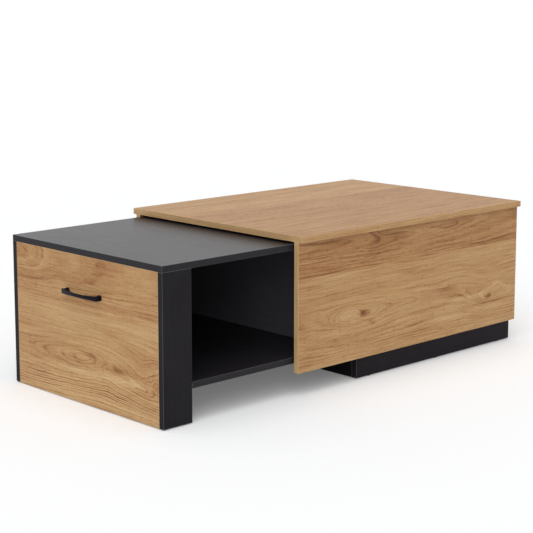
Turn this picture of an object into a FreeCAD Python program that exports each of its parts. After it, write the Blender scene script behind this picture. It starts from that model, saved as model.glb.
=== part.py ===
# Extendable coffee table: an oak-decor shell on a black plinth, and a black pull-out that rolls out of it.
# Sizes are in millimetres. +X runs from the handle to the closed end, +Y to the far long side, +Z up.
# The origin is on the floor under the middle of the table, which is modelled pulled out to its stop.
import FreeCAD
import Part
import os

V = FreeCAD.Vector
ALONG = V(1, 0, 0)
ACROSS = V(0, 1, 0)
UP = V(0, 0, 1)
SIDES = (("near", -1), ("far", 1))

# Boards
board = 16.0              # thickness of every laminated board
arris = 0.8               # rounding of a board's edges

# Shell
shell_length = 885.0
shell_height = 408.0
top_overhang = 12.0       # of the top beyond each long side
side_underside = 61.0     # height of the sides' lower edges above the floor

# Plinth
plinth_setback = 234.0    # from the shell's mouth to the plinth
plinth_inset = 20.0       # from a side's outer face to the plinth
floor_gap = 2.0           # below the plinth, the legs and the front
corner_block = 30.0       # edge of the cubes in the plinth's corners
corner_screw_share = 0.2  # of the cube, from its middle to each screw

# Pull-out
pull_width = 595.0
pull_length = 583.0
mouth_overlap = 164.0     # length of the pull-out that stays in the shell
leg_width = 88.0
side_gap = 3.5            # between the pull-out and each side of the shell
top_gap = 5.0             # between the pull-out's top and the shell's top
running_gap = 7.0         # between the shelf and the shell's bottom
stop_gap = 0.3            # left between faces that meet at a stop or slide

# Handle
handle_length = 141.0
handle_end = 6.5          # from each end of the bow to the middle of its foot
handle_projection = 24.0  # of the bow's middle from the front
handle_shoulder = 15.0    # of the bow's ends from the front
handle_grip = 5.0         # thickness of the bow
handle_pad = 13.0         # height of the bow at its ends
handle_waist = 8.0        # height of the bow at its middle
handle_neck_radius = 6.0  # of each foot where it meets the bow
handle_foot_radius = 7.4  # of each foot on the front
handle_foot_rim = 2.0     # thickness of the foot's rim
handle_flare_shares = (0.45, 0.42)  # of the flare's length and of its height, at the middle of its curve
handle_drop = 110.0       # from the pull-out's top face to the handle
handle_corner = 2.5
handle_edge = 0.9
handle_screw_length = 22.0

# Castors
wheel_radius = 25.0
wheel_width = 18.0
tread = 4.0               # thickness of the rubber
tread_round = 2.0
rim = 3.0
web = 8.0
hub_radius = 8.0
hub_length = 21.0
axle_radius = 3.0
axle_head_radius = 5.0
axle_head = 1.5
axle_fit = 0.05
fork_sheet = 2.0
fork_room = 0.5           # between the hub and each arm
fork_root = 38.0          # width of an arm at the plate
fork_end_radius = 9.0
castor_plate_length = 60.0
castor_plate_width = 46.0
castor_block_width = 60.0
castor_hole_inset = 6.0
castor_screw_length = 13.0
block_screw_length = 27.0

# Glides and stops
rear_glide_radius = 11.0
rear_glide_inset = 32.0   # from the shelf's rear edge
rear_glide_margin = 45.0  # from the shelf's side edge
side_glide_radius = 6.5
plinth_glide_radius = 7.0
glide_round = 1.0
glide_pin_radius = 1.4
glide_pin_length = 10.0
strip_width = 16.0
strip_height = 5.0
strip_length = 120.0
strip_screw_length = 16.0

# Screws, dowels and cam fittings
screw_radius = 1.9
screw_head_radius = 3.8
screw_head = 2.2
dowel_radius = 4.0
dowel_length = 30.0
dowel_depth = 10.0        # in the face of the board that it enters
cam_radius = 7.5
cam_height = 12.0
cam_setback = 34.0        # from the board's edge to the cam's middle
cam_slot_width = 2.0
cam_slot_depth = 2.5
bolt_radius = 3.5
bolt_thread_radius = 3.0
bolt_depth = 11.0         # of the thread in the other board
fit = 0.1                 # round everything that sits in a hole
hole_end = 0.5            # left at the bottom of a blind hole
overrun = 1.0             # of a cut past a face

# Places of fittings, as shares of the joint's length counted from its middle
long_cam_shares = (-0.38, 0.0, 0.38)
long_dowel_shares = (-0.45, -0.2, 0.2, 0.45)
pair_shares = (-0.3, 0.3)
dowel_shares = (-0.42, 0.0, 0.42)
upright_shares = (-0.2, 0.2)
glide_shares = (-0.35, 0.35)
strip_screw_shares = (-0.35, 0.35)
leg_dowel_shares = (-0.3, 0.3)
block_screw_shares = (-0.25, 0.25)

# Planes that the boards share
extension = pull_length - mouth_overlap
overall_length = handle_projection + extension + shell_length
shell_x1 = overall_length / 2
shell_x0 = shell_x1 - shell_length
pull_x0 = shell_x0 - extension
pull_x1 = pull_x0 + pull_length
front_x1 = pull_x0 + board
leg_x1 = pull_x0 + leg_width
rear_x0 = pull_x1 - board
end_x0 = shell_x1 - board
bottom_x0 = shell_x0 + leg_width + stop_gap
plinth_x0 = shell_x0 + plinth_setback
half_pull = pull_width / 2
half_front = half_pull - board
half_inner = half_pull + side_gap
half_body = half_inner + board
half_top = half_body + top_overhang
half_plinth = half_body - plinth_inset
half_cross = half_plinth - board
under_top = shell_height - board
bottom_z1 = side_underside + board
shelf_z0 = bottom_z1 + running_gap
shelf_z1 = shelf_z0 + board
pull_z1 = under_top - top_gap
pull_z0 = pull_z1 - board
castor_top = shelf_z0 - board
middle_of_board = board / 2

pieces = {}
groups = {}
holes = {}


def box(low, high):
    size = high - low
    return Part.makeBox(size.x, size.y, size.z, low)


def panel(name, low, high):
    """A laminated board with its edges eased."""
    solid = box(low, high)
    pieces[name] = solid.makeFillet(arris, solid.Edges)


def mirrored(low, high, sign):
    """The same two corners on the near side where the sign is negative, lowest corner first."""
    if sign > 0:
        return low, high
    return V(low.x, -high.y, low.z), V(high.x, -low.y, high.z)


def spread(middle, length, direction, shares):
    """Points along a joint line."""
    return [middle + direction * (length * share) for share in shares]


def prism(points, direction):
    """A solid between a closed outline of straight runs and its copy moved along a direction."""
    return Part.Face(Part.makePolygon(points + points[:1])).extrude(direction)


def drill(name, start, direction, radius, depth):
    hole = Part.makeCylinder(radius, depth + overrun, start - direction * overrun, direction)
    holes.setdefault(name, []).append(hole)


def keep(group, solid):
    groups.setdefault(group, []).append(solid)


def dowel(body, edge_board, face_board, point, direction):
    """A wooden dowel from the edge of one board into the face of another, which lies along the direction."""
    edge_depth = dowel_length - dowel_depth
    start = point - direction * edge_depth
    keep(body + "_dowels", Part.makeCylinder(dowel_radius, dowel_length, start, direction))
    drill(edge_board, point, -direction, dowel_radius + fit, edge_depth + hole_end)
    drill(face_board, point, direction, dowel_radius + fit, dowel_depth + hole_end)


def cam_fitting(body, edge_board, face_board, point, direction, cam_face):
    """A cam in one board that draws in a bolt driven into the other. cam_face points out of its pocket."""
    rim_point = point - direction * cam_setback + cam_face * middle_of_board
    cam = Part.makeCylinder(cam_radius, cam_height, rim_point, -cam_face)
    mouth = Part.makeCylinder(bolt_radius + fit, cam_setback, point, -direction)
    across = direction.cross(cam_face)
    slot = prism(
        [
            rim_point + across * cam_radius - direction * (cam_slot_width / 2),
            rim_point - across * cam_radius - direction * (cam_slot_width / 2),
            rim_point - across * cam_radius + direction * (cam_slot_width / 2),
            rim_point + across * cam_radius + direction * (cam_slot_width / 2),
        ],
        -cam_face * cam_slot_depth,
    )
    keep(body + "_cams", cam.cut([mouth, slot]))
    thread = Part.makeCylinder(bolt_thread_radius, bolt_depth, point, direction)
    stem = Part.makeCylinder(bolt_radius, cam_setback - hole_end, point, -direction)
    keep(body + "_cam_bolts", thread.fuse(stem).removeSplitter())
    drill(edge_board, rim_point, -cam_face, cam_radius + fit, cam_height + fit)
    drill(edge_board, point, -direction, bolt_radius + fit, cam_setback)
    drill(face_board, point, direction, bolt_thread_radius + fit, bolt_depth + hole_end)


def screw(group, first, others, point, direction, length, sunk):
    """A screw through the first piece into the others; its head is sunk flush or stands on the surface."""
    shank = Part.makeCylinder(screw_radius, length, point, direction)
    if sunk:
        head = Part.makeCone(screw_head_radius, screw_radius, screw_head, point, direction)
        seat = Part.makeCone(screw_head_radius + fit, screw_radius + fit, screw_head + fit, point, direction)
        holes.setdefault(first, []).append(seat)
    else:
        head = Part.makeCylinder(screw_head_radius, screw_head, point, -direction)
    keep(group, shank.fuse(head).removeSplitter())
    for name in (first, *others):
        drill(name, point, direction, screw_radius + fit, length + hole_end)


def glide(group, carrier, point, direction, radius, height):
    """A nail-on plastic glide: a disc with a rounded rim on the carrier's face, its pin in the carrier."""
    disc = Part.makeCylinder(radius, height, point, direction)
    middle = point + direction * (height / 2)
    outer = [edge for edge in disc.Edges if edge.Closed and (edge.CenterOfMass - middle).dot(direction) > 0]
    rounded = disc.makeFillet(glide_round, outer)
    pin = Part.makeCylinder(glide_pin_radius, glide_pin_length, point, -direction)
    keep(group, rounded.fuse(pin).removeSplitter())
    drill(carrier, point, -direction, glide_pin_radius + fit, glide_pin_length + hole_end)


# Shell boards
panel("shell_top", V(shell_x0, -half_top, under_top), V(shell_x1, half_top, shell_height))
panel("shell_end_panel", V(end_x0, -half_inner, side_underside), V(shell_x1, half_inner, under_top))
panel("shell_bottom", V(bottom_x0, -half_inner, side_underside), V(end_x0, half_inner, bottom_z1))
for side, sign in SIDES:
    low = V(shell_x0, half_inner, side_underside)
    high = V(shell_x1, half_body, under_top)
    panel("shell_side_" + side, *mirrored(low, high, sign))

# Plinth frame: long rails with the cross rails between them
plinth_length = shell_x1 - plinth_x0
for side, sign in SIDES:
    low = V(plinth_x0, half_cross, floor_gap)
    high = V(shell_x1, half_plinth, side_underside)
    panel("plinth_rail_" + side, *mirrored(low, high, sign))
for name, x0 in (("inner", plinth_x0), ("outer", end_x0)):
    panel("plinth_cross_" + name, V(x0, -half_cross, floor_gap), V(x0 + board, half_cross, side_underside))

# Fittings between the shell's boards
shell_middle = (shell_x0 + shell_x1) / 2
bottom_middle = (bottom_x0 + end_x0) / 2
bottom_length = end_x0 - bottom_x0
side_height = under_top - side_underside
side_middle_z = (under_top + side_underside) / 2
bottom_middle_z = side_underside + middle_of_board
for side, sign in SIDES:
    name = "shell_side_" + side
    outward = ACROSS * sign
    top_line = V(shell_middle, sign * (half_inner + middle_of_board), under_top)
    for point in spread(top_line, shell_length, ALONG, long_cam_shares):
        cam_fitting("shell", name, "shell_top", point, UP, -outward)
    for point in spread(top_line, shell_length, ALONG, long_dowel_shares):
        dowel("shell", name, "shell_top", point, UP)
    bottom_line = V(bottom_middle, sign * half_inner, bottom_middle_z)
    for point in spread(bottom_line, bottom_length, ALONG, long_cam_shares):
        cam_fitting("shell", "shell_bottom", name, point, outward, -UP)
    for point in spread(bottom_line, bottom_length, ALONG, upright_shares):
        dowel("shell", "shell_bottom", name, point, outward)
    end_line = V(end_x0 + middle_of_board, sign * half_inner, side_middle_z)
    for point in spread(end_line, side_height, UP, pair_shares):
        dowel("shell", "shell_end_panel", name, point, outward)
end_top_line = V(end_x0 + middle_of_board, 0, under_top)
for point in spread(end_top_line, 2 * half_inner, ACROSS, pair_shares):
    cam_fitting("shell", "shell_end_panel", "shell_top", point, UP, -ALONG)
for point in spread(end_top_line, 2 * half_inner, ACROSS, dowel_shares):
    dowel("shell", "shell_end_panel", "shell_top", point, UP)
end_foot_line = V(end_x0, 0, bottom_middle_z)
for point in spread(end_foot_line, 2 * half_inner, ACROSS, pair_shares):
    cam_fitting("shell", "shell_bottom", "shell_end_panel", point, ALONG, -UP)

# Corner blocks, dowels and glides of the plinth
rail_height = side_underside - floor_gap
rail_middle_z = (side_underside + floor_gap) / 2
for side, sign in SIDES:
    rail_name = "plinth_rail_" + side
    outward = ACROSS * sign
    for name, corner_x, inward in (("inner", plinth_x0 + board, ALONG), ("outer", end_x0, -ALONG)):
        corner = V(corner_x, sign * half_cross, side_underside)
        middle = corner + (inward - outward - UP) * (corner_block / 2)
        reach = V(corner_block, corner_block, corner_block) / 2
        cube = box(middle - reach, middle + reach)
        keep("plinth_corner_blocks", cube.makeFillet(arris, cube.Edges))
        aside = inward * (corner_block * corner_screw_share)
        lift_start = middle + aside - UP * (corner_block / 2)
        screw_length = corner_block + middle_of_board
        screw("plinth_screws", "plinth_corner_blocks", ["shell_bottom"], lift_start, UP, screw_length, True)
        push_start = middle - aside - outward * (corner_block / 2)
        screw("plinth_screws", "plinth_corner_blocks", [rail_name], push_start, outward, screw_length, True)
        cross_name = "plinth_cross_" + name
        seam = V(corner_x - inward.x * middle_of_board, sign * half_cross, rail_middle_z)
        for point in spread(seam, rail_height, UP, upright_shares):
            dowel("plinth", cross_name, rail_name, point, outward)
    sole = V((plinth_x0 + shell_x1) / 2, sign * (half_cross + middle_of_board), floor_gap)
    for point in spread(sole, plinth_length, ALONG, dowel_shares):
        glide("plinth_glides", rail_name, point, -UP, plinth_glide_radius, floor_gap)

# Pull-out boards
panel("pullout_top", V(pull_x0, -half_pull, pull_z0), V(pull_x1, half_pull, pull_z1))
panel("front_panel", V(pull_x0, -half_front, floor_gap), V(front_x1, half_front, pull_z0))
panel("pullout_rear_panel", V(rear_x0, -half_pull, shelf_z1), V(pull_x1, half_pull, pull_z0))
panel("pullout_back_panel", V(leg_x1, half_front, shelf_z1), V(rear_x0, half_pull, pull_z0))
for side, sign in SIDES:
    low = V(pull_x0, half_front, floor_gap)
    high = V(leg_x1, half_pull, pull_z0)
    panel("pullout_leg_" + side, *mirrored(low, high, sign))

# Shelf, notched round both legs
shelf = prism(
    [
        V(front_x1, -half_front, shelf_z0),
        V(leg_x1, -half_front, shelf_z0),
        V(leg_x1, -half_pull, shelf_z0),
        V(pull_x1, -half_pull, shelf_z0),
        V(pull_x1, half_pull, shelf_z0),
        V(leg_x1, half_pull, shelf_z0),
        V(leg_x1, half_front, shelf_z0),
        V(front_x1, half_front, shelf_z0),
    ],
    UP * board,
)
pieces["pullout_shelf"] = shelf.makeFillet(arris, shelf.Edges)

# Fittings between the pull-out's boards
front_width = 2 * half_front
leg_middle = (pull_x0 + leg_x1) / 2
back_middle = (leg_x1 + rear_x0) / 2
back_length = rear_x0 - leg_x1
upright_height = pull_z0 - shelf_z1
upright_middle_z = (pull_z0 + shelf_z1) / 2
shelf_middle_z = (shelf_z0 + shelf_z1) / 2
for side, sign in SIDES:
    name = "pullout_leg_" + side
    outward = ACROSS * sign
    leg_top = V(leg_middle, sign * (half_front + middle_of_board), pull_z0)
    cam_fitting("pullout", name, "pullout_top", leg_top, UP, -outward)
    for point in spread(leg_top, leg_width, ALONG, leg_dowel_shares):
        dowel("pullout", name, "pullout_top", point, UP)
    notch = V(leg_middle, sign * half_front, shelf_middle_z)
    dowel("pullout", "pullout_shelf", name, notch, outward)
front_top = V(pull_x0 + middle_of_board, 0, pull_z0)
shelf_front = V(front_x1, 0, shelf_middle_z)
for point in spread(front_top, front_width, ACROSS, pair_shares):
    cam_fitting("pullout", "front_panel", "pullout_top", point, UP, ALONG)
for point in spread(front_top, front_width, ACROSS, dowel_shares):
    dowel("pullout", "front_panel", "pullout_top", point, UP)
for point in spread(shelf_front, front_width, ACROSS, pair_shares):
    cam_fitting("pullout", "pullout_shelf", "front_panel", point, -ALONG, -UP)
rear_top = V(rear_x0 + middle_of_board, 0, pull_z0)
rear_foot = V(rear_x0 + middle_of_board, 0, shelf_z1)
for line, face_board, direction in ((rear_top, "pullout_top", UP), (rear_foot, "pullout_shelf", -UP)):
    for point in spread(line, pull_width, ACROSS, pair_shares):
        cam_fitting("pullout", "pullout_rear_panel", face_board, point, direction, ALONG)
    for point in spread(line, pull_width, ACROSS, dowel_shares):
        dowel("pullout", "pullout_rear_panel", face_board, point, direction)
back_y = half_front + middle_of_board
for z, face_board, direction in ((pull_z0, "pullout_top", UP), (shelf_z1, "pullout_shelf", -UP)):
    for point in spread(V(back_middle, back_y, z), back_length, ALONG, pair_shares):
        cam_fitting("pullout", "pullout_back_panel", face_board, point, direction, -ACROSS)
    for point in spread(V(back_middle, back_y, z), back_length, ALONG, upright_shares):
        dowel("pullout", "pullout_back_panel", face_board, point, direction)
for x, face_board, direction in ((leg_x1, "pullout_leg_far", -ALONG), (rear_x0, "pullout_rear_panel", ALONG)):
    for point in spread(V(x, back_y, upright_middle_z), upright_height, UP, upright_shares):
        dowel("pullout", "pullout_back_panel", face_board, point, direction)

# Bow handle: a bowed band, seen from above, cut to a waisted outline, seen from the front, on two round feet
handle_z = pull_z1 - handle_drop
half_handle = handle_length / 2
foot_y = half_handle - handle_end
pad_z0 = handle_z - handle_pad / 2
bow_x = pull_x0 - handle_projection
shoulder_x = pull_x0 - handle_shoulder


def bow_band():
    """The bow seen from above: of even thickness, and cut off square at its ends."""
    inner_x = shoulder_x + handle_grip
    outer = [V(shoulder_x, half_handle, pad_z0), V(shoulder_x, -half_handle, pad_z0)]
    inner = [V(inner_x, -half_handle, pad_z0), V(inner_x, half_handle, pad_z0)]
    edges = [
        Part.Arc(outer[0], V(bow_x, 0, pad_z0), outer[1]).toShape(),
        Part.makeLine(outer[1], inner[0]),
        Part.Arc(inner[0], V(bow_x + handle_grip, 0, pad_z0), inner[1]).toShape(),
        Part.makeLine(inner[1], outer[0]),
    ]
    return Part.Face(Part.Wire(edges)).extrude(UP * handle_pad)


def runs_along(edge):
    """Whether an edge is a straight line along X."""
    span = edge.BoundBox
    return edge.Curve.TypeId == "Part::GeomLine" and span.XLength > span.YLength + span.ZLength


def waist_outline():
    """The bow seen from the front: full height at its rounded ends, drawn in to the waist by two arcs."""
    pad = handle_pad / 2
    waist = handle_waist / 2
    x = bow_x - overrun
    far_top = V(x, half_handle, handle_z + pad)
    near_top = V(x, -half_handle, handle_z + pad)
    near_foot = V(x, -half_handle, handle_z - pad)
    far_foot = V(x, half_handle, handle_z - pad)
    edges = [
        Part.Arc(far_top, V(x, 0, handle_z + waist), near_top).toShape(),
        Part.makeLine(near_top, near_foot),
        Part.Arc(near_foot, V(x, 0, handle_z - waist), far_foot).toShape(),
        Part.makeLine(far_foot, far_top),
    ]
    block = Part.Face(Part.Wire(edges)).extrude(ALONG * (handle_projection + 2 * overrun))
    return block.makeFillet(handle_corner, [edge for edge in block.Edges if runs_along(edge)])


def handle_foot(y):
    """A turned foot: a flat rim on the front, flared in to the neck that enters the bow."""
    rim_x = pull_x0 - handle_foot_rim
    neck_x = shoulder_x + overrun
    along_share, out_share = handle_flare_shares
    flare_x = rim_x + (neck_x - rim_x) * along_share
    flare_radius = handle_neck_radius + (handle_foot_radius - handle_neck_radius) * out_share
    middle = V(pull_x0, y, handle_z)
    rim = [V(pull_x0, y, handle_z + handle_foot_radius), V(rim_x, y, handle_z + handle_foot_radius)]
    neck = [V(neck_x, y, handle_z + handle_neck_radius), V(neck_x, y, handle_z)]
    edges = [
        Part.makeLine(middle, rim[0]),
        Part.makeLine(*rim),
        Part.Arc(rim[1], V(flare_x, y, handle_z + flare_radius), neck[0]).toShape(),
        Part.makeLine(*neck),
        Part.makeLine(neck[1], middle),
    ]
    return Part.Face(Part.Wire(edges)).revolve(middle, ALONG, 360)


bow = bow_band().common(waist_outline())
bow = bow.makeFillet(handle_edge, [edge for edge in bow.Edges if not runs_along(edge)])
pieces["handle"] = bow.fuse([handle_foot(-foot_y), handle_foot(foot_y)])
for sign in (-1, 1):
    start = V(front_x1, sign * foot_y, handle_z)
    screw("handle_screws", "front_panel", ["handle"], start, -ALONG, handle_screw_length, False)

# Fixed castors behind the front, on blocks under the shelf
castor_x = (front_x1 + leg_x1) / 2
arm_gap = hub_length / 2 + fork_room
rim_radius = wheel_radius - tread


def fork(centre):
    """A pressed fork: a screw plate with two arms that taper to round ends about the axle."""
    plate_reach = V(castor_plate_length, castor_plate_width, 0) / 2
    plate_low = V(centre.x, centre.y, castor_top - fork_sheet) - plate_reach
    plate = box(plate_low, V(centre.x, centre.y, castor_top) + plate_reach)
    solid = plate
    for sign in (-1, 1):
        y = centre.y + sign * arm_gap
        root_z = castor_top - fork_sheet
        root = [V(centre.x - fork_root / 2, y, root_z), V(centre.x + fork_root / 2, y, root_z)]
        end = [V(centre.x + fork_end_radius, y, centre.z), V(centre.x - fork_end_radius, y, centre.z)]
        tip = V(centre.x, y, centre.z - fork_end_radius)
        edges = [
            Part.makeLine(*root),
            Part.makeLine(root[1], end[0]),
            Part.Arc(end[0], tip, end[1]).toShape(),
            Part.makeLine(end[1], root[0]),
        ]
        solid = solid.fuse(Part.Face(Part.Wire(edges)).extrude(ACROSS * (sign * fork_sheet)))
    return solid.removeSplitter()


def axle(centre):
    """A riveted axle with a head outside each arm."""
    half = arm_gap + fork_sheet
    solid = Part.makeCylinder(axle_radius, 2 * half, centre - ACROSS * half, ACROSS)
    for direction in (ACROSS, -ACROSS):
        head = Part.makeCylinder(axle_head_radius, axle_head, centre + direction * half, direction)
        solid = solid.fuse(head)
    return solid.removeSplitter()


def turned(centre, section):
    """A ring turned about the axle from half of its section, given as radius and distance from mid-width."""
    near_half = [(radius, -reach) for radius, reach in reversed(section)]
    outline = [V(centre.x + radius, centre.y + reach, centre.z) for radius, reach in section + near_half]
    return Part.Face(Part.makePolygon(outline + outline[:1])).revolve(centre, ACROSS, 360)


def wheel(centre):
    """A nylon wheel centre: hub, web and rim."""
    bore = axle_radius + axle_fit
    return turned(
        centre,
        [
            (bore, hub_length / 2),
            (hub_radius, hub_length / 2),
            (hub_radius, web / 2),
            (rim_radius - rim, web / 2),
            (rim_radius - rim, wheel_width / 2),
            (rim_radius, wheel_width / 2),
        ],
    )


def tyre(centre):
    """A rubber tread with rounded shoulders, stretched over the rim."""
    start = centre - ACROSS * (wheel_width / 2)
    ring = Part.makeCylinder(wheel_radius, wheel_width, start, ACROSS)
    shoulders = [edge for edge in ring.Edges if edge.Closed]
    rounded = ring.makeFillet(tread_round, shoulders)
    return rounded.cut(Part.makeCylinder(rim_radius + axle_fit, wheel_width + overrun, start, ACROSS))


for side, sign in SIDES:
    outward = ACROSS * sign
    low = V(front_x1, half_front - castor_block_width, castor_top)
    high = V(leg_x1, half_front, shelf_z0)
    cube = box(*mirrored(low, high, sign))
    keep("castor_blocks", cube.makeFillet(arris, cube.Edges))
    centre = V(castor_x, sign * (half_front - castor_block_width / 2), wheel_radius)
    pieces["castor_fork_" + side] = fork(centre)
    pieces["castor_axle_" + side] = axle(centre)
    pieces["castor_wheel_" + side] = wheel(centre)
    pieces["castor_tyre_" + side] = tyre(centre)
    fork_hole = axle_radius + axle_fit
    fork_start = centre - ACROSS * (castor_plate_width / 2)
    drill("castor_fork_" + side, fork_start, ACROSS, fork_hole, castor_plate_width)
    for along in (-1, 1):
        for aside in (-1, 1):
            corner_x = castor_x + along * (castor_plate_length / 2 - castor_hole_inset)
            corner_y = centre.y + aside * (castor_plate_width / 2 - castor_hole_inset)
            corner = V(corner_x, corner_y, castor_top - fork_sheet)
            fork_name = "castor_fork_" + side
            screw("castor_screws", fork_name, ["castor_blocks"], corner, UP, castor_screw_length, False)
    block_foot = V(castor_x, centre.y, castor_top)
    for point in spread(block_foot, castor_block_width, ACROSS, block_screw_shares):
        screw("castor_block_screws", "castor_blocks", ["pullout_shelf"], point, UP, block_screw_length, True)

# Glides under the shelf and at the rear corners
glide_height = running_gap - stop_gap
side_glide_height = side_gap - stop_gap
for side, sign in SIDES:
    foot = V(pull_x1 - rear_glide_inset, sign * (half_pull - rear_glide_margin), shelf_z0)
    glide("rear_glides", "pullout_shelf", foot, -UP, rear_glide_radius, glide_height)
    edge_line = V(rear_x0 + middle_of_board, sign * half_pull, upright_middle_z)
    for point in spread(edge_line, upright_height, UP, glide_shares):
        glide("side_glides", "pullout_rear_panel", point, ACROSS * sign, side_glide_radius, side_glide_height)

# Stop strips that meet in the gap under the shelf when the pull-out is fully out
half_strip = strip_length / 2
pull_strip_x0 = pull_x1 - strip_width
shell_strip_x1 = pull_strip_x0 - stop_gap
shell_strip_x0 = shell_strip_x1 - strip_width
pull_strip_z0 = shelf_z0 - strip_height
shell_strip_z1 = bottom_z1 + strip_height
panel("pullout_stop", V(pull_strip_x0, -half_strip, pull_strip_z0), V(pull_x1, half_strip, shelf_z0))
panel("shell_stop", V(shell_strip_x0, -half_strip, bottom_z1), V(shell_strip_x1, half_strip, shell_strip_z1))
pull_strip_line = V((pull_strip_x0 + pull_x1) / 2, 0, pull_strip_z0)
for point in spread(pull_strip_line, strip_length, ACROSS, strip_screw_shares):
    screw("pullout_stop_screws", "pullout_stop", ["pullout_shelf"], point, UP, strip_screw_length, True)
shell_strip_line = V((shell_strip_x0 + shell_strip_x1) / 2, 0, shell_strip_z1)
for point in spread(shell_strip_line, strip_length, ACROSS, strip_screw_shares):
    screw("shell_stop_screws", "shell_stop", ["shell_bottom"], point, -UP, strip_screw_length, True)

# Cut the holes and write every piece
os.makedirs("parts", exist_ok=True)
for name, solids in groups.items():
    pieces[name] = Part.makeCompound([solid.cut(holes[name]) if name in holes else solid for solid in solids])
for name, solid in pieces.items():
    if name in holes and name not in groups:
        solid = solid.cut(holes[name])
    solid.exportStep("parts/" + name + ".step")
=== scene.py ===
import math

import bmesh
import bpy
from mathutils import Euler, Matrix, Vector


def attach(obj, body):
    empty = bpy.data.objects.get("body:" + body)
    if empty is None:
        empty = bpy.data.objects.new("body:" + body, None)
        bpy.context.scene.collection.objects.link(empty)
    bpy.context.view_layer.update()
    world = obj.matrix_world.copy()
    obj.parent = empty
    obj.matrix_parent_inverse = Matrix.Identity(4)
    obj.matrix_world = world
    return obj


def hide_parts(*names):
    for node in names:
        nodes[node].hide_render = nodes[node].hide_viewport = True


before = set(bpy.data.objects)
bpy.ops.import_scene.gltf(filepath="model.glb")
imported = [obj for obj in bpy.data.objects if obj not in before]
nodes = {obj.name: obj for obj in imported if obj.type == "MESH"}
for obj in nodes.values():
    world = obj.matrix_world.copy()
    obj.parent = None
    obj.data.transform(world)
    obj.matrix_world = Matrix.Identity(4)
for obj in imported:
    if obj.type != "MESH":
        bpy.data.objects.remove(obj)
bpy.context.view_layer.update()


# Shell boards: the top, two long sides and end panel of the fixed part of the table.
# Particle board faced with a printed oak decor under matt melamine, edges banded in the same decor.
# Cut to size, edge banded, drilled, and drawn together by dowels and cam fittings.
def linear(colour):
    """A hex sRGB colour as linear RGBA."""
    channels = [int(colour[start:start + 2], 16) / 255 for start in (1, 3, 5)]
    return (*(c / 12.92 if c <= 0.04045 else ((c + 0.055) / 1.055) ** 2.4 for c in channels), 1.0)


def feed(tree, node, inputs):
    """Gives a node its inputs. Each is a value, a socket, a node whose first live output is linked,
    or a list of nodes."""
    for key, value in inputs.items():
        socket = node.inputs[key] if isinstance(key, int) else next(
            one for one in node.inputs if one.enabled and one.name == key)
        for source in value if isinstance(value, list) else [value]:
            if isinstance(source, bpy.types.Node):
                source = next(one for one in source.outputs if one.enabled)
            if isinstance(source, bpy.types.NodeSocket):
                tree.links.new(source, socket)
            else:
                socket.default_value = source


def add(tree, kind, inputs=None, stops=(), bends=(), **settings):
    """A new node with its settings, its inputs, a ramp's colour stops or a curve's points."""
    node = tree.nodes.new(kind)
    for name, value in settings.items():
        setattr(node, name, value)
    feed(tree, node, inputs or {})
    if stops:
        elements = node.color_ramp.elements
        while len(elements) < len(stops):
            elements.new(1.0)
        for element, (place, colour) in zip(elements, stops):
            element.position = place
            element.color = linear(colour)
    if bends:
        points = node.mapping.curves[0].points
        while len(points) < len(bends):
            points.new(1.0, 1.0)
        for point, place in zip(points, bends):
            point.location = place
            point.handle_type = "AUTO_CLAMPED"
        node.mapping.update()
    return node


def new_material(name):
    """A material, its node tree and shader, and the place on the piece in millimetres."""
    material = bpy.data.materials.new(name)
    material.use_nodes = True
    tree = material.node_tree
    metre = 1000.0  # in millimetres
    place = add(tree, "ShaderNodeTexCoord").outputs["Object"]
    spot = add(tree, "ShaderNodeVectorMath", {0: place, "Scale": metre}, operation="SCALE")
    return material, tree, tree.nodes["Principled BSDF"], spot


def board_faces(tree):
    """How squarely a spot faces along each axis, and how far round a board's arris it lies."""
    square_on, well_round = 0.995, 0.9
    normal = add(tree, "ShaderNodeTexCoord").outputs["Normal"]
    square = add(tree, "ShaderNodeVectorMath", {0: normal}, operation="ABSOLUTE")
    facing = add(tree, "ShaderNodeSeparateXYZ", {0: square}).outputs
    widest = facing["X"]
    for other in ("Y", "Z"):
        widest = add(tree, "ShaderNodeMath", {0: widest, 1: facing[other]}, operation="MAXIMUM")
    arris = add(tree, "ShaderNodeMapRange", {
        0: widest, 1: square_on, 2: well_round, 3: 0.0, 4: 1.0})
    return facing, arris


def dress(material, *names):
    """Gives CAD nodes their material."""
    for name in names:
        for slot in nodes[name].material_slots:
            slot.material = material


# Tones of oak from darkest late wood to palest early wood, and how a ring darkens to its end
oak_tones = [
    (0.0, "#7a4e2c"), (0.25, "#a37549"), (0.5, "#ba9466"), (0.75, "#caa97b"), (1.0, "#dcc297")]
oak_ring = [(0.0, "#000000"), (0.45, "#2a2a2a"), (0.86, "#ffffff"), (1.0, "#000000")]

# Limits of a stave's heart in millimetres: its run, its height about the mean, and its depth
longest_run = 700.0
heart_sway = 60.0
deepest_heart = 120.0


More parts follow.
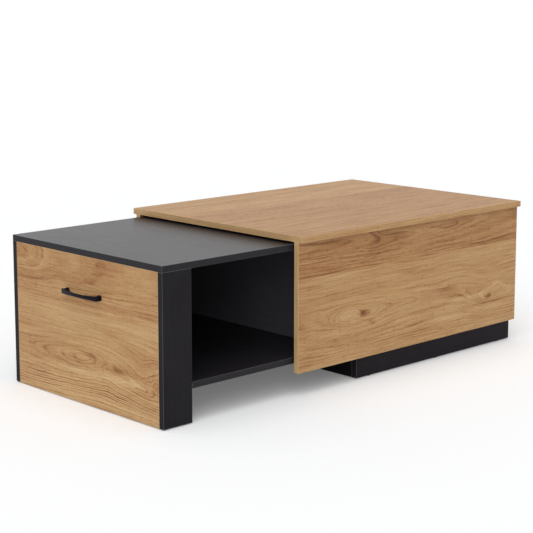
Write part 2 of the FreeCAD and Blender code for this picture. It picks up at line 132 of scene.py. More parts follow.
def oak_decor(name, along, across, seed, staves, patches=()):
    """Oak decor printed from flat-sawn staves: golden tan, matt, with brown lines and fine pores.
    Its grain runs along one axis. Sizes are in millimetres.
    stave: joint at its lower side, tone, and its heart as run, height and depth, by rising run.
    patch: run, height, half length, half height, how much darker, how much stronger its rings, and
    how far they are bent."""
    material, tree, shader, spot = new_material(name)
    axes = add(tree, "ShaderNodeSeparateXYZ", {0: spot}).outputs
    facing, arris = board_faces(tree)
    through = ({"X", "Y", "Z"} - {along, across}).pop()

    # On the edges the band's grain runs lengthwise: the board's thickness replaces its width.
    # Each band is cut from the print far away from the faces
    squarely = 0.7
    band_place = 3000.0 + 100.0 * seed
    on_end = add(tree, "ShaderNodeMath", {0: facing[along], 1: squarely}, operation="GREATER_THAN")
    on_edge = add(tree, "ShaderNodeMath", {0: facing[through], 1: squarely}, operation="LESS_THAN")
    band = add(tree, "ShaderNodeMath", {0: axes[through], 1: band_place}, operation="ADD")
    run = add(tree, "ShaderNodeMix", {"Factor": on_end, "A": axes[along], "B": axes[across]})
    width = add(tree, "ShaderNodeMix", {"Factor": on_edge, "A": axes[across], "B": band})

    # Each stave has its own tone, and a heart that wanders along it and dips below its face
    tone, middle, lie, dip, layer = 0.5, 0.0, 0.0, 0.0, float(seed)
    # The bands on the boards' ends are drawn paler than those on the long edges: painted light on
    # ends, such as the mouth's edge, that stand in the pull-out's shade
    long_band_tone, end_band_painted_light_tone = 0.47, 0.65
    way = add(tree, "ShaderNodeMapRange", {0: run, 1: -longest_run, 2: longest_run, 3: 0.0, 4: 1.0})
    for joint, shade, points in staves:
        above = add(tree, "ShaderNodeMath", {0: width, 1: joint}, operation="GREATER_THAN")
        ways = [(point[0] + longest_run) / (2 * longest_run) for point in points]
        mean = sum(point[1] for point in points) / len(points)
        heights = [0.5 + (point[1] - mean) / (2 * heart_sway) for point in points]
        depths = [point[2] / deepest_heart for point in points]
        rise = add(tree, "ShaderNodeFloatCurve", {"Value": way}, bends=list(zip(ways, heights)))
        rise = add(tree, "ShaderNodeMapRange", {
            0: rise, 1: 0.0, 2: 1.0, 3: -heart_sway, 4: heart_sway})
        sink = add(tree, "ShaderNodeFloatCurve", {"Value": way}, bends=list(zip(ways, depths)))
        sink = add(tree, "ShaderNodeMath", {0: sink, 1: deepest_heart}, operation="MULTIPLY")
        middle = add(tree, "ShaderNodeMix", {"Factor": above, "A": middle, "B": mean})
        lie = add(tree, "ShaderNodeMix", {"Factor": above, "A": lie, "B": rise})
        dip = add(tree, "ShaderNodeMix", {"Factor": above, "A": dip, "B": sink})
        tone = add(tree, "ShaderNodeMix", {"Factor": above, "A": tone, "B": shade})
        layer = add(tree, "ShaderNodeMath", {0: above, 1: layer}, operation="ADD")
    middle = add(tree, "ShaderNodeMix", {"Factor": on_edge, "A": middle, "B": 0.0})
    tone = add(tree, "ShaderNodeMix", {"Factor": on_edge, "A": tone, "B": long_band_tone})
    tone = add(tree, "ShaderNodeMix", {"Factor": on_end, "A": tone, "B": end_band_painted_light_tone})

    # Rings lie round the heart: arches and ovals over it, and nearly straight lines far from it
    near_heart, far_from_heart, far_share, far_depth = 15.0, 105.0, 0.1, 30.0
    wanders = ((110.0, 3.5, 20.0), (34.0, 4.0, 10.0), (10.0, 5.0, 3.0))  # size, stretch, sway
    wander_step = 7.0  # in the noise, from one stave to the next
    flat = add(tree, "ShaderNodeCombineXYZ", {0: run, 1: width, 2: layer})
    aside = add(tree, "ShaderNodeMath", {0: width, 1: middle}, operation="SUBTRACT")
    away = add(tree, "ShaderNodeMath", {0: aside}, operation="ABSOLUTE")
    close = add(tree, "ShaderNodeMapRange", {
        0: away, 1: near_heart, 2: far_from_heart, 3: 1.0, 4: far_share},
        interpolation_type="SMOOTHSTEP")
    near_lie = add(tree, "ShaderNodeMath", {0: lie, 1: close}, operation="MULTIPLY")
    near_dip = add(tree, "ShaderNodeMix", {"Factor": close, "A": far_depth, "B": dip})
    aside = add(tree, "ShaderNodeMath", {0: aside, 1: near_lie}, operation="SUBTRACT")
    reach = add(tree, "ShaderNodeCombineXYZ", {0: aside, 1: near_dip})
    rings = add(tree, "ShaderNodeVectorMath", {0: reach}, operation="LENGTH")
    for size, stretch, sway in wanders:
        stretched = add(tree, "ShaderNodeMapping", {
            0: flat, "Scale": (1 / (size * stretch), 1 / size, wander_step)})
        wander = add(tree, "ShaderNodeTexNoise", {"Vector": stretched, "Scale": 1.0, "Detail": 1.0})
        rings = add(tree, "ShaderNodeMath", {
            0: wander, 1: sway, 2: rings}, operation="MULTIPLY_ADD")

    # Knots, the brown or pale wood beside them, and places where the rings show more, all with
    # outlines that are shaken out of their plain ovals
    shake_size, shake_length, shake_height = 24.0, 30.0, 12.0
    every_layer = 1e6
    strength = 0.0
    shaky = add(tree, "ShaderNodeTexNoise", {
        "Vector": flat, "Scale": 1 / shake_size, "Detail": 2.0})
    shake = add(tree, "ShaderNodeVectorMath", {
        0: shaky.outputs["Color"], 1: (shake_length, shake_height, 0.0), 2: flat},
        operation="MULTIPLY_ADD")
    shaken = add(tree, "ShaderNodeVectorMath", {
        0: shake, 1: (shake_length / 2, shake_height / 2, 0.0)}, operation="SUBTRACT")
    for run_at, width_at, half_length, half_height, darker, stronger, bend in patches:
        oval = add(tree, "ShaderNodeMapping", {
            0: shaken, "Location": (run_at, width_at, 0),
            "Scale": (half_length, half_height, every_layer)}, vector_type="TEXTURE")
        shade = add(tree, "ShaderNodeTexGradient", {0: oval}, gradient_type="SPHERICAL")
        tone = add(tree, "ShaderNodeMath", {
            0: shade, 1: -darker, 2: tone}, operation="MULTIPLY_ADD")
        strength = add(tree, "ShaderNodeMath", {
            0: shade, 1: stronger, 2: strength}, operation="MULTIPLY_ADD")
        rings = add(tree, "ShaderNodeMath", {0: shade, 1: bend, 2: rings}, operation="MULTIPLY_ADD")

    # Late wood: a dark line at the end of each year's ring, stronger in some years and zones
    ring_width, drift_size, drift_years = 7.5, 40.0, 4.0
    zone_length, zone_height, zone_step = 150.0, 18.0, 3.0
    calm_noise, lively_noise = 0.36, 0.66
    weakest_zone, strongest_zone = 0.1, 0.95
    leanest_year, fattest_year = 0.2, 1.3
    line_darkness = 0.3
    drift = add(tree, "ShaderNodeTexNoise", {
        "W": rings, "Scale": 1 / drift_size, "Detail": 1.0}, noise_dimensions="1D")
    year = add(tree, "ShaderNodeMath", {0: rings, 1: 1 / ring_width}, operation="MULTIPLY")
    year = add(tree, "ShaderNodeMath", {
        0: drift, 1: drift_years, 2: year}, operation="MULTIPLY_ADD")
    season = add(tree, "ShaderNodeMath", {0: year}, operation="FRACT")
    late = add(tree, "ShaderNodeValToRGB", {0: season}, stops=oak_ring)
    count = add(tree, "ShaderNodeMath", {0: year}, operation="FLOOR")
    harvest = add(tree, "ShaderNodeTexWhiteNoise", {"W": count}, noise_dimensions="1D")
    zones = add(tree, "ShaderNodeMapping", {
        0: flat, "Scale": (1 / zone_length, 1 / zone_height, zone_step)})
    zone = add(tree, "ShaderNodeTexNoise", {"Vector": zones, "Scale": 1.0, "Detail": 1.0})
    zone = add(tree, "ShaderNodeMapRange", {
        0: zone, 1: calm_noise, 2: lively_noise, 3: weakest_zone, 4: strongest_zone})
    strength = add(tree, "ShaderNodeMath", {0: zone, 1: strength}, operation="ADD")
    fatness = add(tree, "ShaderNodeMapRange", {
        0: harvest, 1: 0.0, 2: 1.0, 3: leanest_year, 4: fattest_year})
    strength = add(tree, "ShaderNodeMath", {0: strength, 1: fatness}, operation="MULTIPLY")
    line = add(tree, "ShaderNodeMath", {0: late, 1: strength}, operation="MULTIPLY")
    tone = add(tree, "ShaderNodeMath", {
        0: line, 1: -line_darkness, 2: tone}, operation="MULTIPLY_ADD")

    # Broad bands follow the rings; fibres and pores keep more to the length of the board
    ring_share, fibre_step = 0.35, 5.0
    bands = add(tree, "ShaderNodeCombineXYZ", {0: run, 1: rings, 2: layer})
    flow = add(tree, "ShaderNodeMath", {
        0: rings, 1: ring_share, 2: width}, operation="MULTIPLY_ADD")
    fibres = add(tree, "ShaderNodeCombineXYZ", {0: run, 1: flow, 2: layer})
    streaks = ((bands, 24.0, 14.0, 0.45), (bands, 6.0, 26.0, 0.42), (fibres, 2.2, 34.0, 0.45))
    for source, size, stretch, contrast in streaks:
        stretched = add(tree, "ShaderNodeMapping", {
            0: source, "Scale": (1 / (size * stretch), 1 / size, fibre_step)})
        streak = add(tree, "ShaderNodeTexNoise", {"Vector": stretched, "Scale": 1.0, "Detail": 2.0})
        paler = add(tree, "ShaderNodeMath", {0: streak, 1: 0.5}, operation="SUBTRACT")
        tone = add(tree, "ShaderNodeMath", {
            0: paler, 1: contrast, 2: tone}, operation="MULTIPLY_ADD")

    # Pores are short dashes, drawn three times as wide as real ones, to show
    pore_length, pore_width, pore_darkness = 16.0, 1.2, 0.16
    pore_rim, pore_middle = 0.58, 0.72
    dashes = add(tree, "ShaderNodeMapping", {
        0: fibres, "Scale": (1 / pore_length, 1 / pore_width, fibre_step)})
    dash = add(tree, "ShaderNodeTexNoise", {"Vector": dashes, "Scale": 1.0, "Detail": 0.0})
    pore = add(tree, "ShaderNodeMapRange", {
        0: dash, 1: pore_rim, 2: pore_middle, 3: 0.0, 4: 1.0})
    tone = add(tree, "ShaderNodeMath", {
        0: pore, 1: -pore_darkness, 2: tone}, operation="MULTIPLY_ADD")

    # The edge band's scraped radius is drawn paler than the faces: partly its own scraped colour,
    # partly a painted highlight along the arris. The pores are rougher
    scraped_paleness_and_highlight = 0.28
    face_roughness, pore_roughness = 0.46, 0.6
    pore_depth = 0.0001  # in metres
    tone = add(tree, "ShaderNodeMath", {
        0: arris, 1: scraped_paleness_and_highlight, 2: tone}, operation="MULTIPLY_ADD")
    colour = add(tree, "ShaderNodeValToRGB", {0: tone}, stops=oak_tones)
    gloss = add(tree, "ShaderNodeMapRange", {
        0: pore, 1: 0.0, 2: 1.0, 3: face_roughness, 4: pore_roughness})
    bump = add(tree, "ShaderNodeBump", {
        "Height": pore, "Distance": pore_depth, "Strength": 0.4}, invert=True)
    feed(tree, shader, {
        "Base Color": colour, "Roughness": gloss, "Specular IOR Level": 0.2, "Normal": bump})
    return material


top_staves = [
    (-1000, 0.37, [(-220, -430, 60), (660, -400, 60)]),
    (-118, 0.35, [(-220, 430, 60), (660, 400, 60)]),
    (104, 0.45, [(-220, -300, 60), (660, -330, 60)]),
]
side_near_staves = [
    (-1000, 0.47, [
        (-221, 190, 38), (-100, 185, 32), (16, 180, 23), (110, 181, 33), (200, 183, 40),
        (385, 187, 45), (460, 174, 41), (537, 155, 31), (600, 158, 30), (664, 162, 32)]),
    (298, 0.31, [
        (-221, 374, 6), (0, 374, 16), (120, 364, 30), (340, 372, 33), (490, 378, 42),
        (664, 380, 52)]),
]
side_near_patches = [
    (16, 178, 26, 14, 0.55, 0, 0),  # first knot
    (46, 155, 26, 11, 0.24, 0, 0),  # brown wood under it
    (-40, 180, 80, 30, -0.22, 0.3, -28),  # pale eye beside it
    (150, 128, 170, 30, -0.04, 1.1, 0),  # clear lines under the eye
    (537, 149, 17, 12, 0.5, 0, 0),  # second knot
    (575, 182, 55, 22, -0.14, 0.5, -8),  # pale eye over it
    (455, 157, 120, 10, -0.22, 0.4, 0),  # pale wedge beside it
    (520, 131, 170, 5, 0.2, 0, 0),  # brown line under it
    (380, 112, 420, 14, -0.12, 0, 0),  # pale band near the foot
    (250, 340, 600, 30, 0, 0.1, 0),  # lines of the upper stave
    (220, 262, 700, 46, 0.02, -0.6, 0),  # calm wood under the joint
]
side_far_staves = [
    (-1000, 0.47, [(-221, 120, 60), (60, 128, 34), (300, 132, 8), (440, 126, 30), (664, 120, 70)]),
    (190, 0.4, [(-221, 300, 4), (100, 304, 20), (380, 296, 46), (664, 290, 70)]),
]
end_staves = [
    (-1000, 0.47, [(-301, 150, 52), (-60, 154, 34), (90, 150, 8), (200, 146, 30), (301, 148, 60)]),
    (262, 0.38, [(-301, 340, 60), (0, 336, 34), (301, 330, 8)]),
]
oak_top = oak_decor("oak_decor_top", along="X", across="Y", seed=1, staves=top_staves)
oak_near = oak_decor(
    "oak_decor_side_near", along="X", across="Z", seed=2, staves=side_near_staves,
    patches=side_near_patches)
oak_far = oak_decor("oak_decor_side_far", along="X", across="Z", seed=3, staves=side_far_staves)
oak_end = oak_decor("oak_decor_end", along="Y", across="Z", seed=4, staves=end_staves)
dress(oak_top, "shell_top")
dress(oak_near, "shell_side_near")
dress(oak_far, "shell_side_far")
dress(oak_end, "shell_end_panel")


# Shell bottom and plinth: the board under the shell and the frame of rails that it stands on.
# Particle board faced with anthracite melamine, edges banded in the same colour.
# The rails are doweled into a frame and held up to the bottom by screws through corner blocks.
noise_low, noise_high = 0.3, 0.7  # a noise mostly lies between these


def anthracite_melamine(name, along, seed, colours, shine):
    """Anthracite melamine with faint streaks along one axis: matt, with a sheen at a low angle.
    The streaks are drawn some three times as wide as those of the real print, to show."""
    material, tree, shader, spot = new_material(name)
    streak_width, streak_length, mottle_size, mottle_share = 1.4, 90.0, 55.0, 0.6
    darkest_mix, palest_mix = 0.6, 1.0
    scale = tuple(1 / (streak_length if axis == along else streak_width) for axis in "XYZ")
    streaked = add(tree, "ShaderNodeMapping", {
        0: spot, "Scale": scale, "Location": (seed, seed, seed)})
    streak = add(tree, "ShaderNodeTexNoise", {"Vector": streaked, "Scale": 1.0, "Detail": 2.0})
    mottle = add(tree, "ShaderNodeTexNoise", {
        "Vector": spot, "Scale": 1 / mottle_size, "Detail": 2.0})
    mixed = add(tree, "ShaderNodeMath", {
        0: mottle, 1: mottle_share, 2: streak}, operation="MULTIPLY_ADD")
    shade = add(tree, "ShaderNodeMapRange", {
        0: mixed, 1: darkest_mix, 2: palest_mix, 3: 0.0, 4: 1.0})
    body = add(tree, "ShaderNodeValToRGB", {0: shade}, stops=list(zip((0.0, 1.0), colours)))

    # The scraped radius of the edge band shows as a thin grey line: partly its paler scraped
    # colour, partly a painted highlight along the arris
    arris = board_faces(tree)[1]
    colour = add(tree, "ShaderNodeMix", {
        "Factor": arris, "A": body, "B": linear("#5c5a60")}, data_type="RGBA")
    smoothest, roughest = 0.27, 0.35
    streak_relief = 0.00005  # in metres
    gloss = add(tree, "ShaderNodeMapRange", {
        0: streak, 1: noise_low, 2: noise_high, 3: smoothest, 4: roughest})
    bump = add(tree, "ShaderNodeBump", {
        "Height": streak, "Distance": streak_relief, "Strength": 0.3})
    feed(tree, shader, {
        "Base Color": colour, "Roughness": gloss, "Specular IOR Level": shine, "Normal": bump})
    return material


anthracite = ("#1f1d21", "#252327")
# The rails are drawn a little darker than the other anthracite boards and the cross rails much
# darker: painted shade under the shell
rail_painted_shade_anthracite = ("#1d191e", "#231f24")
cross_rail_painted_shade_anthracite = ("#131114", "#181619")
matt_shine = 0.06
black_along_x = anthracite_melamine(
    "anthracite_melamine_lengthwise", along="X", seed=1, colours=anthracite, shine=matt_shine)
black_rails = anthracite_melamine(
    "anthracite_melamine_rails", along="X", seed=2, colours=rail_painted_shade_anthracite, shine=matt_shine)
black_cross = anthracite_melamine(
    "anthracite_melamine_cross_rails", along="Y", seed=2, colours=cross_rail_painted_shade_anthracite,
    shine=matt_shine)
dress(black_along_x, "shell_bottom")
dress(black_rails, "plinth_rail_near", "plinth_rail_far")
dress(black_cross, "plinth_cross_inner", "plinth_cross_outer")


# Dowels and corner blocks: turned pegs in every board joint and sawn cubes in the plinth's corners.
# Plain beech; the pegs are glued, and the cubes are screwed to the rails and up into the bottom.
def beech():
    """Unfinished beech: even pinkish tan, dry, with the short brown flecks of its rays."""
    material, tree, shader, spot = new_material("unfinished_beech")
    fleck_length, fleck_width, mottle_size = 2.4, 0.5, 9.0
    fleck_rim, fleck_middle, fleck_share = 0.6, 0.68, 0.7
    smoothest, roughest = 0.58, 0.7
    mottle = add(tree, "ShaderNodeTexNoise", {
        "Vector": spot, "Scale": 1 / mottle_size, "Detail": 2.0})
    body = add(tree, "ShaderNodeValToRGB", {0: mottle}, stops=[
        (noise_low, "#c39c72"), (noise_high, "#d6b38a")])
    flecked = add(tree, "ShaderNodeMapping", {
        0: spot, "Scale": (1 / fleck_width, 1 / fleck_width, 1 / fleck_length)})
    fleck = add(tree, "ShaderNodeTexNoise", {"Vector": flecked, "Scale": 1.0, "Detail": 0.0})
    shown = add(tree, "ShaderNodeMapRange", {
        0: fleck, 1: fleck_rim, 2: fleck_middle, 3: 0.0, 4: fleck_share})
    colour = add(tree, "ShaderNodeMix", {
        "Factor": shown, "A": body, "B": linear("#9c7148")}, data_type="RGBA")
    gloss = add(tree, "ShaderNodeMapRange", {
        0: mottle, 1: noise_low, 2: noise_high, 3: smoothest, 4: roughest})
    feed(tree, shader, {"Base Color": colour, "Roughness": gloss})
    return material


dress(beech(), "shell_dowels", "plinth_dowels", "pullout_dowels", "plinth_corner_blocks")


# Cam fittings: slotted cams in pockets of one board, drawing in bolts driven into the other.
# The cams are die-cast zinc, left as cast; the bolts are turned from steel and zinc plated.
# A half turn of the slot pulls the joint tight.
def fine_grit(name, colours, grit, roughness, relief, metallic=0.0, shine=0.5):
    """A finish with a fine mottle of two colours. The grit is in millimetres, the relief in metres.
    Grit that is finer than about a millimetre is drawn at about that size, to show."""
    material, tree, shader, spot = new_material(name)
    smoothest, roughest = roughness
    mottle = add(tree, "ShaderNodeTexNoise", {"Vector": spot, "Scale": 1 / grit, "Detail": 2.0})
    stops = list(zip((noise_low, noise_high), colours))
    body = add(tree, "ShaderNodeValToRGB", {0: mottle}, stops=stops)
    gloss = add(tree, "ShaderNodeMapRange", {
        0: mottle, 1: noise_low, 2: noise_high, 3: smoothest, 4: roughest})
    bump = add(tree, "ShaderNodeBump", {"Height": mottle, "Distance": relief, "Strength": 0.5})
    feed(tree, shader, {
        "Base Color": body, "Roughness": gloss, "Metallic": metallic, "Specular IOR Level": shine,
        "Normal": bump})
    return material


# Cast skin: dull grey, slightly cloudy
cast_zinc = fine_grit(
    "die_cast_zinc", ("#8d8e8f", "#a2a3a4"), grit=1.2, roughness=(0.42, 0.52), relief=0.00003,
    metallic=1.0)
dress(cast_zinc, "shell_cams", "pullout_cams")
# Bright plating: bluish silver with faint cloudy patches
plated_steel = fine_grit(
    "zinc_plated_steel", ("#a6aab0", "#c7cacd"), grit=2.5, roughness=(0.26, 0.36), relief=0.00001,
    metallic=1.0)
dress(plated_steel, "shell_cam_bolts", "pullout_cam_bolts")


# Pull-out boards: the top, two legs, shelf, back and rear panel of the compartment that slides out.
# The same anthracite board, satin on the top and shelf; the rear panel is drawn paler, as painted
# light inside the shaded compartment.
# The legs stand beside the front and are doweled to the shelf that is notched round them.
# Paler than the other anthracite: painted light on the compartment's shaded rear panel
inside_painted_light_anthracite = ("#4f4d53", "#555359")
satin_shine = 0.14
black_satin = anthracite_melamine(
    "anthracite_melamine_crosswise", along="Y", seed=2, colours=anthracite, shine=satin_shine)
black_upright = anthracite_melamine(
    "anthracite_melamine_upright", along="Z", seed=3, colours=anthracite, shine=matt_shine)
black_inside = anthracite_melamine(
    "anthracite_melamine_inside_painted_light", along="Y", seed=4, colours=inside_painted_light_anthracite, shine=matt_shine)
dress(black_along_x, "pullout_back_panel", "castor_blocks")
dress(black_satin, "pullout_shelf", "pullout_top")
dress(black_upright, "pullout_leg_near", "pullout_leg_far")
dress(black_inside, "pullout_rear_panel")


# Front panel: the oak face of the pull-out, flush between the black legs and under the black top.
# The same oak decor, its grain running across the table, with two eyes low on the panel.
# Held by cams to the top and to the shelf behind it.
front_staves = [
    (-1000, 0.49, [
        (-281, 64, 36), (-240, 74, 34), (-200, 86, 32), (-170, 97, 30), (-134, 109, 28),
        (-92, 122, 31), (-60, 124, 26), (12, 118, 17), (60, 114, 18), (100, 112, 22),
        (200, 109, 32), (281, 110, 36)]),
    (246, 0.42, [
        (-281, 362, 75), (-120, 362, 70), (-25, 360, 66), (42, 358, 58), (150, 356, 46),
        (210, 352, 26), (281, 350, 8)]),
]
front_patches = [
    (10, 118, 110, 26, -0.08, 0.15, -14),  # first eye
    (38, 112, 48, 14, 0.28, 0, 0),  # brown wood in it
    (-22, 127, 42, 9, 0.24, 0, 0),  # brown wood over it
    (60, 82, 150, 13, -0.2, 0, 0),  # pale wood under it
    (-128, 110, 90, 19, 0.24, 0, 0),  # second eye
    (-160, 90, 110, 17, -0.28, 0, 0),  # pale wedge under it
    (-300, 130, 80, 55, 0, 0.6, -35),  # arch at the near edge
    (-170, 0, 800, 90, 0, 0.2, 36),  # flat lines along the foot
    (-60, 35, 420, 60, -0.16, 1.0, 0),  # stronger there
    (-190, 42, 210, 60, -0.04, 1.3, 0),  # strongest at the near end
    (180, 44, 210, 50, -0.06, 1.3, 0),  # and at the far end
    (0, 205, 520, 44, -0.03, -0.5, 0),  # calm wood under the joint
]
oak_front = oak_decor(
    "oak_decor_front", along="Y", across="Z", seed=5, staves=front_staves, patches=front_patches)
dress(oak_front, "front_panel")


# Handle: a bow handle, waisted in the middle, on turned feet that flare onto the front panel.
# Cast metal with a black powder coat: nearly black, satin, with a fine orange peel in its shine.
# Held by two screws from inside the front panel.
powder_coat = fine_grit(
    "black_powder_coat", ("#0a0812", "#100d1a"), grit=1.1, roughness=(0.36, 0.44), relief=0.00004,
    shine=0.09)
dress(powder_coat, "handle")


# Castors: two fixed castors hidden behind the front, which carry the pull-out when it is out.
# A pressed steel fork and riveted axle, zinc plated, a nylon wheel and a grey rubber tyre.
# Each fork's plate is screwed to a block under the shelf.
dress(plated_steel, "castor_fork_near", "castor_fork_far", "castor_axle_near", "castor_axle_far")
# Natural nylon: milky white, waxy
nylon = fine_grit(
    "natural_nylon", ("#d9d6cc", "#e4e1d8"), grit=3.0, roughness=(0.34, 0.44), relief=0.00002)
dress(nylon, "castor_wheel_near", "castor_wheel_far")
# Moulded rubber: mid grey, dry, with a dusty grain
rubber = fine_grit(
    "grey_rubber", ("#4b4c4e", "#595a5d"), grit=0.8, roughness=(0.7, 0.82), relief=0.00008,
    shine=0.25)
dress(rubber, "castor_tyre_near", "castor_tyre_far")


# Glides and stops: nail-on glides on the plinth and pull-out, and two strips that stop the slide.
# Moulded black polythene: satin, slightly waxy, with a soft uneven skin.
# The glides are nailed and the strips screwed on.
polythene = fine_grit(
    "moulded_black_polythene", ("#151517", "#1e1e20"), grit=0.9, roughness=(0.4, 0.5),
    relief=0.00003, shine=0.35)
dress(polythene, "plinth_glides", "rear_glides", "side_glides", "shell_stop", "pullout_stop")


# Screws: cross-head wood screws, domed on the handle's and castors' fixings and sunk in the rest.
# Steel, headed, cross-punched, thread-rolled and zinc plated.
# Each stands where its CAD solid is, with its cross turned as the driver left it.
head_height = 0.0022
screw_sizes = {
    "Head radius": 0.0038,
    "Head height": head_height,
    "Shank radius": 0.0019,
    "Cross span": 0.0042,
    "Cross width": 0.0009,
    "Cross depth": 0.0011,
}
head_sides, dome_rings, shank_sides = 24, 14, 12
driver_seed = 7
screw_tree = bpy.data.node_groups.new("cross_head_screws", "GeometryNodeTree")
new_socket = screw_tree.interface.new_socket
new_socket("Geometry", in_out="INPUT", socket_type="NodeSocketGeometry")
screw_sockets = {
    name: new_socket(name, in_out="INPUT", socket_type="NodeSocketFloat") for name in screw_sizes}
metal_socket = new_socket("Metal", in_out="INPUT", socket_type="NodeSocketMaterial")
new_socket("Geometry", in_out="OUTPUT", socket_type="NodeSocketGeometry")
given = add(screw_tree, "NodeGroupInput").outputs

# The bars of the cross, half sunk in the top of a head
bar_depth = add(screw_tree, "ShaderNodeMath", {
    0: given["Cross depth"], 1: 2.0}, operation="MULTIPLY")
bars = []
for first, second in (("Cross span", "Cross width"), ("Cross width", "Cross span")):
    bar_size = add(screw_tree, "ShaderNodeCombineXYZ", {
        0: given[first], 1: given[second], 2: bar_depth})
    bars.append(add(screw_tree, "GeometryNodeMeshCube", {"Size": bar_size}))
to_top = add(screw_tree, "ShaderNodeCombineXYZ", {2: given["Head height"]})
to_foot = add(screw_tree, "ShaderNodeVectorMath", {0: to_top, "Scale": -1.0}, operation="SCALE")
raised_bars = [
    add(screw_tree, "GeometryNodeTransform", {"Geometry": bar, "Translation": to_top})
    for bar in bars
]

# A domed head is the upper half of a flattened ball; a block under it cuts off the rest
ball = add(screw_tree, "GeometryNodeMeshUVSphere", {
    "Segments": head_sides, "Rings": dome_rings, "Radius": 1.0})
ball_size = add(screw_tree, "ShaderNodeCombineXYZ", {
    0: given["Head radius"], 1: given["Head radius"], 2: given["Head height"]})
dome = add(screw_tree, "GeometryNodeTransform", {"Geometry": ball, "Scale": ball_size})
block_share = (4.0, 4.0, 2.0)  # of the ball's half sizes
block_size = add(screw_tree, "ShaderNodeVectorMath", {
    0: ball_size, 1: block_share}, operation="MULTIPLY")
block = add(screw_tree, "GeometryNodeMeshCube", {"Size": block_size})
block = add(screw_tree, "GeometryNodeTransform", {"Geometry": block, "Translation": to_foot})
domed = add(screw_tree, "GeometryNodeMeshBoolean", {
    "Mesh 1": dome, "Mesh 2": [*raised_bars, block]}, operation="DIFFERENCE", solver="EXACT")

# A sunk head is a cone, flush with the surface; the shank is of unit size until it is placed
cone = add(screw_tree, "GeometryNodeMeshCone", {
    "Vertices": head_sides, "Radius Top": given["Head radius"],
    "Radius Bottom": given["Shank radius"], "Depth": given["Head height"]})
cone = add(screw_tree, "GeometryNodeTransform", {"Geometry": cone, "Translation": to_foot})
sunk = add(screw_tree, "GeometryNodeMeshBoolean", {
    "Mesh 1": cone, "Mesh 2": bars}, operation="DIFFERENCE", solver="EXACT")
shank = add(screw_tree, "GeometryNodeMeshCylinder", {
    "Vertices": shank_sides, "Radius": 1.0, "Depth": 1.0})
shank = add(screw_tree, "GeometryNodeTransform", {
    "Geometry": shank, "Translation": (0.0, 0.0, -0.5)})

# Each goes to its seat, turned to face the way its head does
head_way = add(screw_tree, "GeometryNodeInputNamedAttribute", {
    "Name": "axis"}, data_type="FLOAT_VECTOR")
length = add(screw_tree, "GeometryNodeInputNamedAttribute", {"Name": "length"}, data_type="FLOAT")
is_sunk = add(screw_tree, "GeometryNodeInputNamedAttribute", {"Name": "sunk"}, data_type="BOOLEAN")
is_domed = add(screw_tree, "FunctionNodeBooleanMath", {0: is_sunk}, operation="NOT")
upright = add(screw_tree, "FunctionNodeAlignRotationToVector", {"Vector": head_way}, axis="Z")
spin = add(screw_tree, "FunctionNodeRandomValue", {
    "Min": 0.0, "Max": math.pi, "Seed": driver_seed}, data_type="FLOAT")
spun = add(screw_tree, "ShaderNodeCombineXYZ", {2: spin})
spun = add(screw_tree, "FunctionNodeEulerToRotation", {0: spun})
turned = add(screw_tree, "FunctionNodeRotateRotation", {
    0: upright, 1: spun}, rotation_space="LOCAL")
shank_size = add(screw_tree, "ShaderNodeCombineXYZ", {
    0: given["Shank radius"], 1: given["Shank radius"], 2: length})
placed = [
    add(screw_tree, "GeometryNodeInstanceOnPoints", {
        "Points": given["Geometry"], "Selection": chosen, "Instance": head, "Rotation": turned})
    for chosen, head in ((is_domed, domed), (is_sunk, sunk))
]
placed.append(add(screw_tree, "GeometryNodeInstanceOnPoints", {
    "Points": given["Geometry"], "Instance": shank, "Rotation": turned, "Scale": shank_size}))
joined = add(screw_tree, "GeometryNodeJoinGeometry", {"Geometry": placed})
real = add(screw_tree, "GeometryNodeRealizeInstances", {"Geometry": joined})
plated = add(screw_tree, "GeometryNodeSetMaterial", {"Geometry": real, "Material": given["Metal"]})
add(screw_tree, "NodeGroupOutput", {"Geometry": plated})


def loose_boxes(name):
    """The lowest and highest corner of each loose solid in a CAD node."""
    copy = bmesh.new()
    copy.from_mesh(nodes[name].data)
    bmesh.ops.remove_doubles(copy, verts=copy.verts, dist=1e-6)
    seen = set()
    boxes = []
    for start in copy.verts:
        if start in seen:
            continue
        seen.add(start)
        island = [start]
        for vertex in island:
            for edge in vertex.link_edges:
                other = edge.other_vert(vertex)
                if other not in seen:
                    seen.add(other)
                    island.append(other)
        low = Vector([min(vertex.co[axis] for vertex in island) for axis in range(3)])
        high = Vector([max(vertex.co[axis] for vertex in island) for axis in range(3)])
        boxes.append((low, high))
    copy.free()
    return boxes


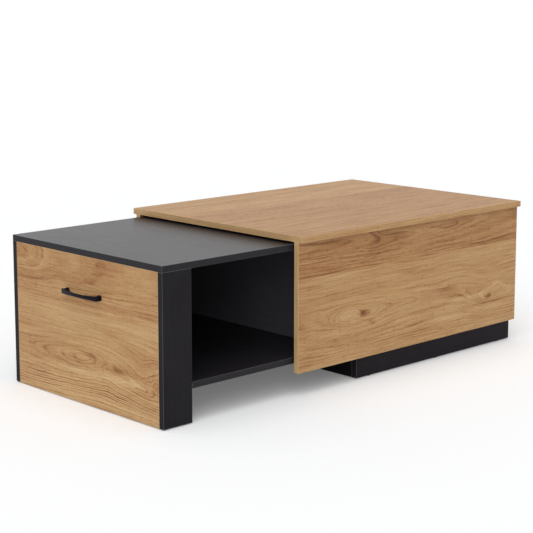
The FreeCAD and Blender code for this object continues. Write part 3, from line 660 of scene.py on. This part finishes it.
def drive_screws(piece_name, body, groups):
    """One mesh of all the screws of a body.
    group: CAD node, the way its heads face, whether they are sunk. A screw that lies across the
    table has its head towards the middle."""
    seats, ways, lengths, sinks = [], [], [], []
    for name, faces, sunk in groups:
        for low, high in loose_boxes(name):
            middle, size = (low + high) / 2, high - low
            way = Vector(faces)
            if size.y > max(size.x, size.z):
                way = Vector((0, -math.copysign(1, middle.y), 0))
            full = max(size)
            stands = 0 if sunk else head_height
            seats.append(middle + way * (full / 2 - stands))
            ways.append(way)
            lengths.append(full - stands)
            sinks.append(sunk)
    mesh = bpy.data.meshes.new(piece_name)
    mesh.from_pydata(seats, [], [])
    mesh.attributes.new("axis", "FLOAT_VECTOR", "POINT").data.foreach_set(
        "vector", [number for way in ways for number in way])
    mesh.attributes.new("length", "FLOAT", "POINT").data.foreach_set("value", lengths)
    mesh.attributes.new("sunk", "BOOLEAN", "POINT").data.foreach_set("value", sinks)
    piece = bpy.data.objects.new(piece_name, mesh)
    bpy.context.scene.collection.objects.link(piece)
    maker = piece.modifiers.new("screws", "NODES")
    maker.node_group = screw_tree
    for name, size in screw_sizes.items():
        maker[screw_sockets[name].identifier] = size
    maker[metal_socket.identifier] = plated_steel
    made = piece.evaluated_get(bpy.context.evaluated_depsgraph_get())
    made = bpy.data.meshes.new_from_object(made)
    piece.modifiers.clear()
    piece.data = made
    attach(piece, body)
    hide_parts(*[name for name, faces, sunk in groups])


drive_screws("shell_cross_head_screws", "shell", [
    ("plinth_screws", (0, 0, -1), True),
    ("shell_stop_screws", (0, 0, 1), True),
])
drive_screws("pullout_cross_head_screws", "pullout", [
    ("handle_screws", (1, 0, 0), False),
    ("castor_screws", (0, 0, -1), False),
    ("castor_block_screws", (0, 0, -1), True),
    ("pullout_stop_screws", (0, 0, -1), True),
])


# Stage: a pale floor, soft studio light from above and in front, and the photograph's camera.
# The floor is matt white paint, wide enough to be the background too.
# It and the sky look whiter to the eye, in metal and in glass than they light the table.
def seen_directly(tree):
    """One for a ray from the camera, a mirror or glass, and none for the light on the table."""
    rays = add(tree, "ShaderNodeLightPath").outputs
    direct = rays["Is Camera Ray"]
    for other in ("Is Glossy Ray", "Is Transmission Ray"):
        direct = add(tree, "ShaderNodeMath", {0: direct, 1: rays[other]}, operation="MAXIMUM")
    return direct


floor_half, floor_height = 150.0, -0.0004
floor_glow = 0.13
sky_light = 0.45
white = (1, 1, 1, 1)
corners = ((-1, -1), (1, -1), (1, 1), (-1, 1))
floor_mesh = bpy.data.meshes.new("floor")
floor_mesh.from_pydata(
    [(x * floor_half, y * floor_half, floor_height) for x, y in corners], [], [(0, 1, 2, 3)])
floor = bpy.data.objects.new("floor", floor_mesh)
bpy.context.scene.collection.objects.link(floor)
paint = bpy.data.materials.new("matt_white_paint")
paint.use_nodes = True
paint_tree = paint.node_tree
glow = add(paint_tree, "ShaderNodeMath", {
    0: seen_directly(paint_tree), 1: floor_glow}, operation="MULTIPLY")
feed(paint_tree, paint_tree.nodes["Principled BSDF"], {
    "Base Color": linear("#f3f4f5"), "Roughness": 0.8, "Specular IOR Level": 0.1,
    "Emission Color": white, "Emission Strength": glow})
floor.data.materials.append(paint)

sky = bpy.data.worlds.new("studio")
bpy.context.scene.world = sky
sky.use_nodes = True
sky_tree = sky.node_tree
brightness = add(sky_tree, "ShaderNodeMapRange", {
    0: seen_directly(sky_tree), 1: 0.0, 2: 1.0, 3: sky_light, 4: 1.0})
feed(sky_tree, sky_tree.nodes["Background"], {"Color": white, "Strength": brightness})


def soft_sun(name, azimuth, elevation, spread, level):
    """A broad, even lamp: a white sheet that faces it renders at this level."""
    lamp = bpy.data.lights.new(name, "SUN")
    lamp.angle = math.radians(spread)
    lamp.energy = level * math.pi
    turn, rise = math.radians(azimuth), math.radians(elevation)
    towards = Vector((
        math.sin(turn) * math.cos(rise), -math.cos(turn) * math.cos(rise), math.sin(rise)))
    sun = bpy.data.objects.new(name, lamp)
    sun.rotation_euler = towards.to_track_quat("Z", "Y").to_euler()
    bpy.context.scene.collection.objects.link(sun)


soft_sun("overhead_light", azimuth=-60, elevation=84, spread=50, level=0.265)
soft_sun("key_light", azimuth=-52, elevation=40, spread=50, level=0.36)
soft_sun("fill_light", azimuth=-45, elevation=8, spread=40, level=0.1)

photo_width = 533
focal_pixels = 1463.5
camera_yaw, camera_pitch = 46.231, -8.815
camera = bpy.data.cameras.new("camera")
camera.sensor_width = 36.0
camera.lens = focal_pixels / photo_width * camera.sensor_width
camera.shift_y = -0.10
camera.clip_end = 100.0
eye = bpy.data.objects.new("camera", camera)
eye.location = (-2.7221, -2.8136, 1.0138)
eye.rotation_euler = Euler((math.radians(90 + camera_pitch), 0, math.radians(camera_yaw - 90)))
bpy.context.scene.collection.objects.link(eye)
bpy.context.scene.camera = eye
bpy.context.scene.view_settings.view_transform = "Standard"
